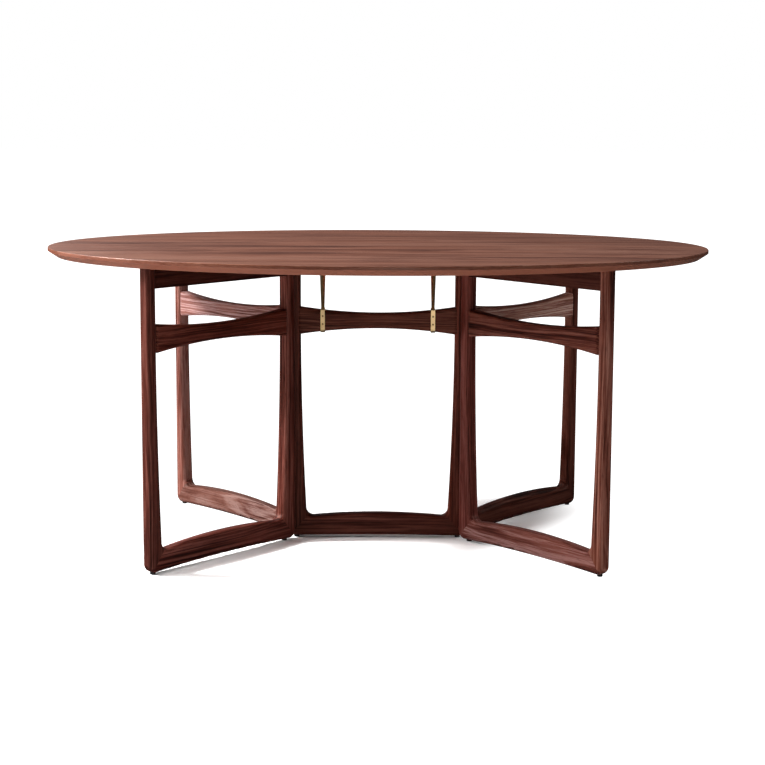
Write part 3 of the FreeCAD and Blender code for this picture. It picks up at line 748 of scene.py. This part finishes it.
# Each lamp's place, aim, width and height in metres, and its watts
FRAME_MIDDLE = (0.0, 0.0, 0.40)
UNDER_TOP = (0.0, 0.0, 0.60)
LAMPS = {
    "left_window": ((-3.55, -0.09, 2.80), FRAME_MIDDLE, 0.65, 0.65, 430.0),
    "low_window": ((-4.80, 1.50, 0.55), FRAME_MIDDLE, 3.4, 1.2, 270.0),
    "edge_window": ((-3.90, -1.35, 3.20), FRAME_MIDDLE, 0.6, 0.6, 90.0),
    "front_left_window": ((-3.36, -2.35, 3.27), FRAME_MIDDLE, 1.8, 1.8, 40.0),
    "front_high_window": ((-0.40, -2.30, 4.70), FRAME_MIDDLE, 1.6, 1.6, 70.0),
    "rear_window": ((-2.05, 3.55, 3.27), FRAME_MIDDLE, 1.5, 1.5, 40.0),
    "right_window": ((4.33, 0.0, 2.90), FRAME_MIDDLE, 1.8, 1.8, 80.0),
    "front_card": ((0.50, -5.00, 0.75), UNDER_TOP, 0.6, 0.6, 20.0),
}
# Lamps that light the wood but aren't mirrored in it
UNMIRRORED = ("low_window",)

# The photograph's perspective, with the lens and the sensor in millimetres
CAMERA_PLACE = Vector((0.0122, -4.5956, 1.0702))
CAMERA_PITCH = math.radians(8.4087)
CAMERA_ROLL = math.radians(0.28)
CAMERA_LENS = 88.09
SENSOR = 36.0


def stage():
    """A white floor that keeps the table's shadow near its feet."""
    s = Shader("white_floor")
    bare = s.node("ShaderNodeBsdfDiffuse", None, {"Color": (FLOOR_WHITE,) * 3 + (1.0,)})
    shown = s.node("ShaderNodeBsdfDiffuse", None, {"Color": (FLOOR_SHOWN,) * 3 + (1.0,)})
    glow = s.node("ShaderNodeEmission", None, {"Color": WHITE, "Strength": FLOOR_GLOW})
    dim = s.node("ShaderNodeBsdfDiffuse", None, {"Color": BLACK})
    seen = s.node("ShaderNodeLightPath", None, (), "Is Camera Ray")
    mirrored = s.node("ShaderNodeLightPath", None, (), "Is Glossy Ray")
    reflected = s.node("ShaderNodeMixShader", None, {0: mirrored * FLOOR_SHEEN_SHARE, 1: bare, 2: dim})
    lying = s.node("ShaderNodeMapping", {"vector_type": "TEXTURE"},
                   {"Vector": s.here(), "Location": SHADOW_MIDDLE, "Rotation": (0.0, 0.0, SHADOW_TURN),
                    "Scale": (1.0, SHADOW_WIDTH, 1.0)})
    far = s.step(s.length(lying), *FAR_FLOOR)
    pictured = s.node("ShaderNodeMixShader", None, {0: far, 1: shown, 2: glow})
    mixed = s.node("ShaderNodeMixShader", None, {0: seen, 1: reflected, 2: pictured})
    s.node("ShaderNodeOutputMaterial", None, {"Surface": mixed})
    mesh = bpy.data.meshes.new("floor")
    corners = [(x * FLOOR_REACH, y * FLOOR_REACH, 0) for x, y in ((-1, -1), (1, -1), (1, 1), (-1, 1))]
    mesh.from_pydata(corners, [], [(0, 1, 2, 3)])
    mesh.materials.append(s.material)
    added("floor", mesh)


def world():
    """White where the camera looks past the table, softer as a light and in reflections."""
    studio = bpy.data.worlds.new("studio")
    bpy.context.scene.world = studio
    studio.use_nodes = True
    nodes = studio.node_tree.nodes
    links = studio.node_tree.links
    nodes.clear()
    path = nodes.new("ShaderNodeLightPath")

    def background(strength):
        made = nodes.new("ShaderNodeBackground")
        made.inputs["Color"].default_value = WHITE
        made.inputs["Strength"].default_value = strength
        return made.outputs[0]

    shown = background(ROOM_LIGHT)
    seen = (("Is Glossy Ray", ROOM_SHEEN), ("Is Transmission Ray", 1.0), ("Is Camera Ray", 1.0))
    for ray, strength in seen:
        chosen = nodes.new("ShaderNodeMixShader")
        links.new(path.outputs[ray], chosen.inputs[0])
        links.new(shown, chosen.inputs[1])
        links.new(background(strength), chosen.inputs[2])
        shown = chosen.outputs[0]
    links.new(shown, nodes.new("ShaderNodeOutputWorld").inputs[0])


def lamps():
    """The windows and the card of a photo studio, as plain rectangles."""
    for name, (place, aim, width, height, watts) in LAMPS.items():
        data = bpy.data.lights.new(name, "AREA")
        data.shape = "RECTANGLE"
        data.size = width
        data.size_y = height
        data.energy = watts
        lamp = added(name, data)
        lamp.location = place
        lamp.rotation_euler = (Vector(aim) - Vector(place)).to_track_quat("-Z", "Y").to_euler()
        lamp.visible_glossy = name not in UNMIRRORED


def camera():
    """The photograph's camera."""
    data = bpy.data.cameras.new("camera")
    data.lens = CAMERA_LENS
    data.sensor_width = SENSOR
    forward = Vector((0, math.cos(CAMERA_PITCH), -math.sin(CAMERA_PITCH)))
    up = X_AXIS.cross(forward)
    across = X_AXIS * math.cos(CAMERA_ROLL) + up * math.sin(CAMERA_ROLL)
    upward = up * math.cos(CAMERA_ROLL) - X_AXIS * math.sin(CAMERA_ROLL)
    turn = Matrix((across, upward, -forward)).transposed().to_4x4()
    eye = added("camera", data)
    eye.matrix_world = Matrix.Translation(CAMERA_PLACE) @ turn
    bpy.context.scene.camera = eye


wooden_frames()
table_top()
metal()
glides()
stage()
world()
lamps()
camera()
bpy.context.scene.view_settings.view_transform = "Standard"
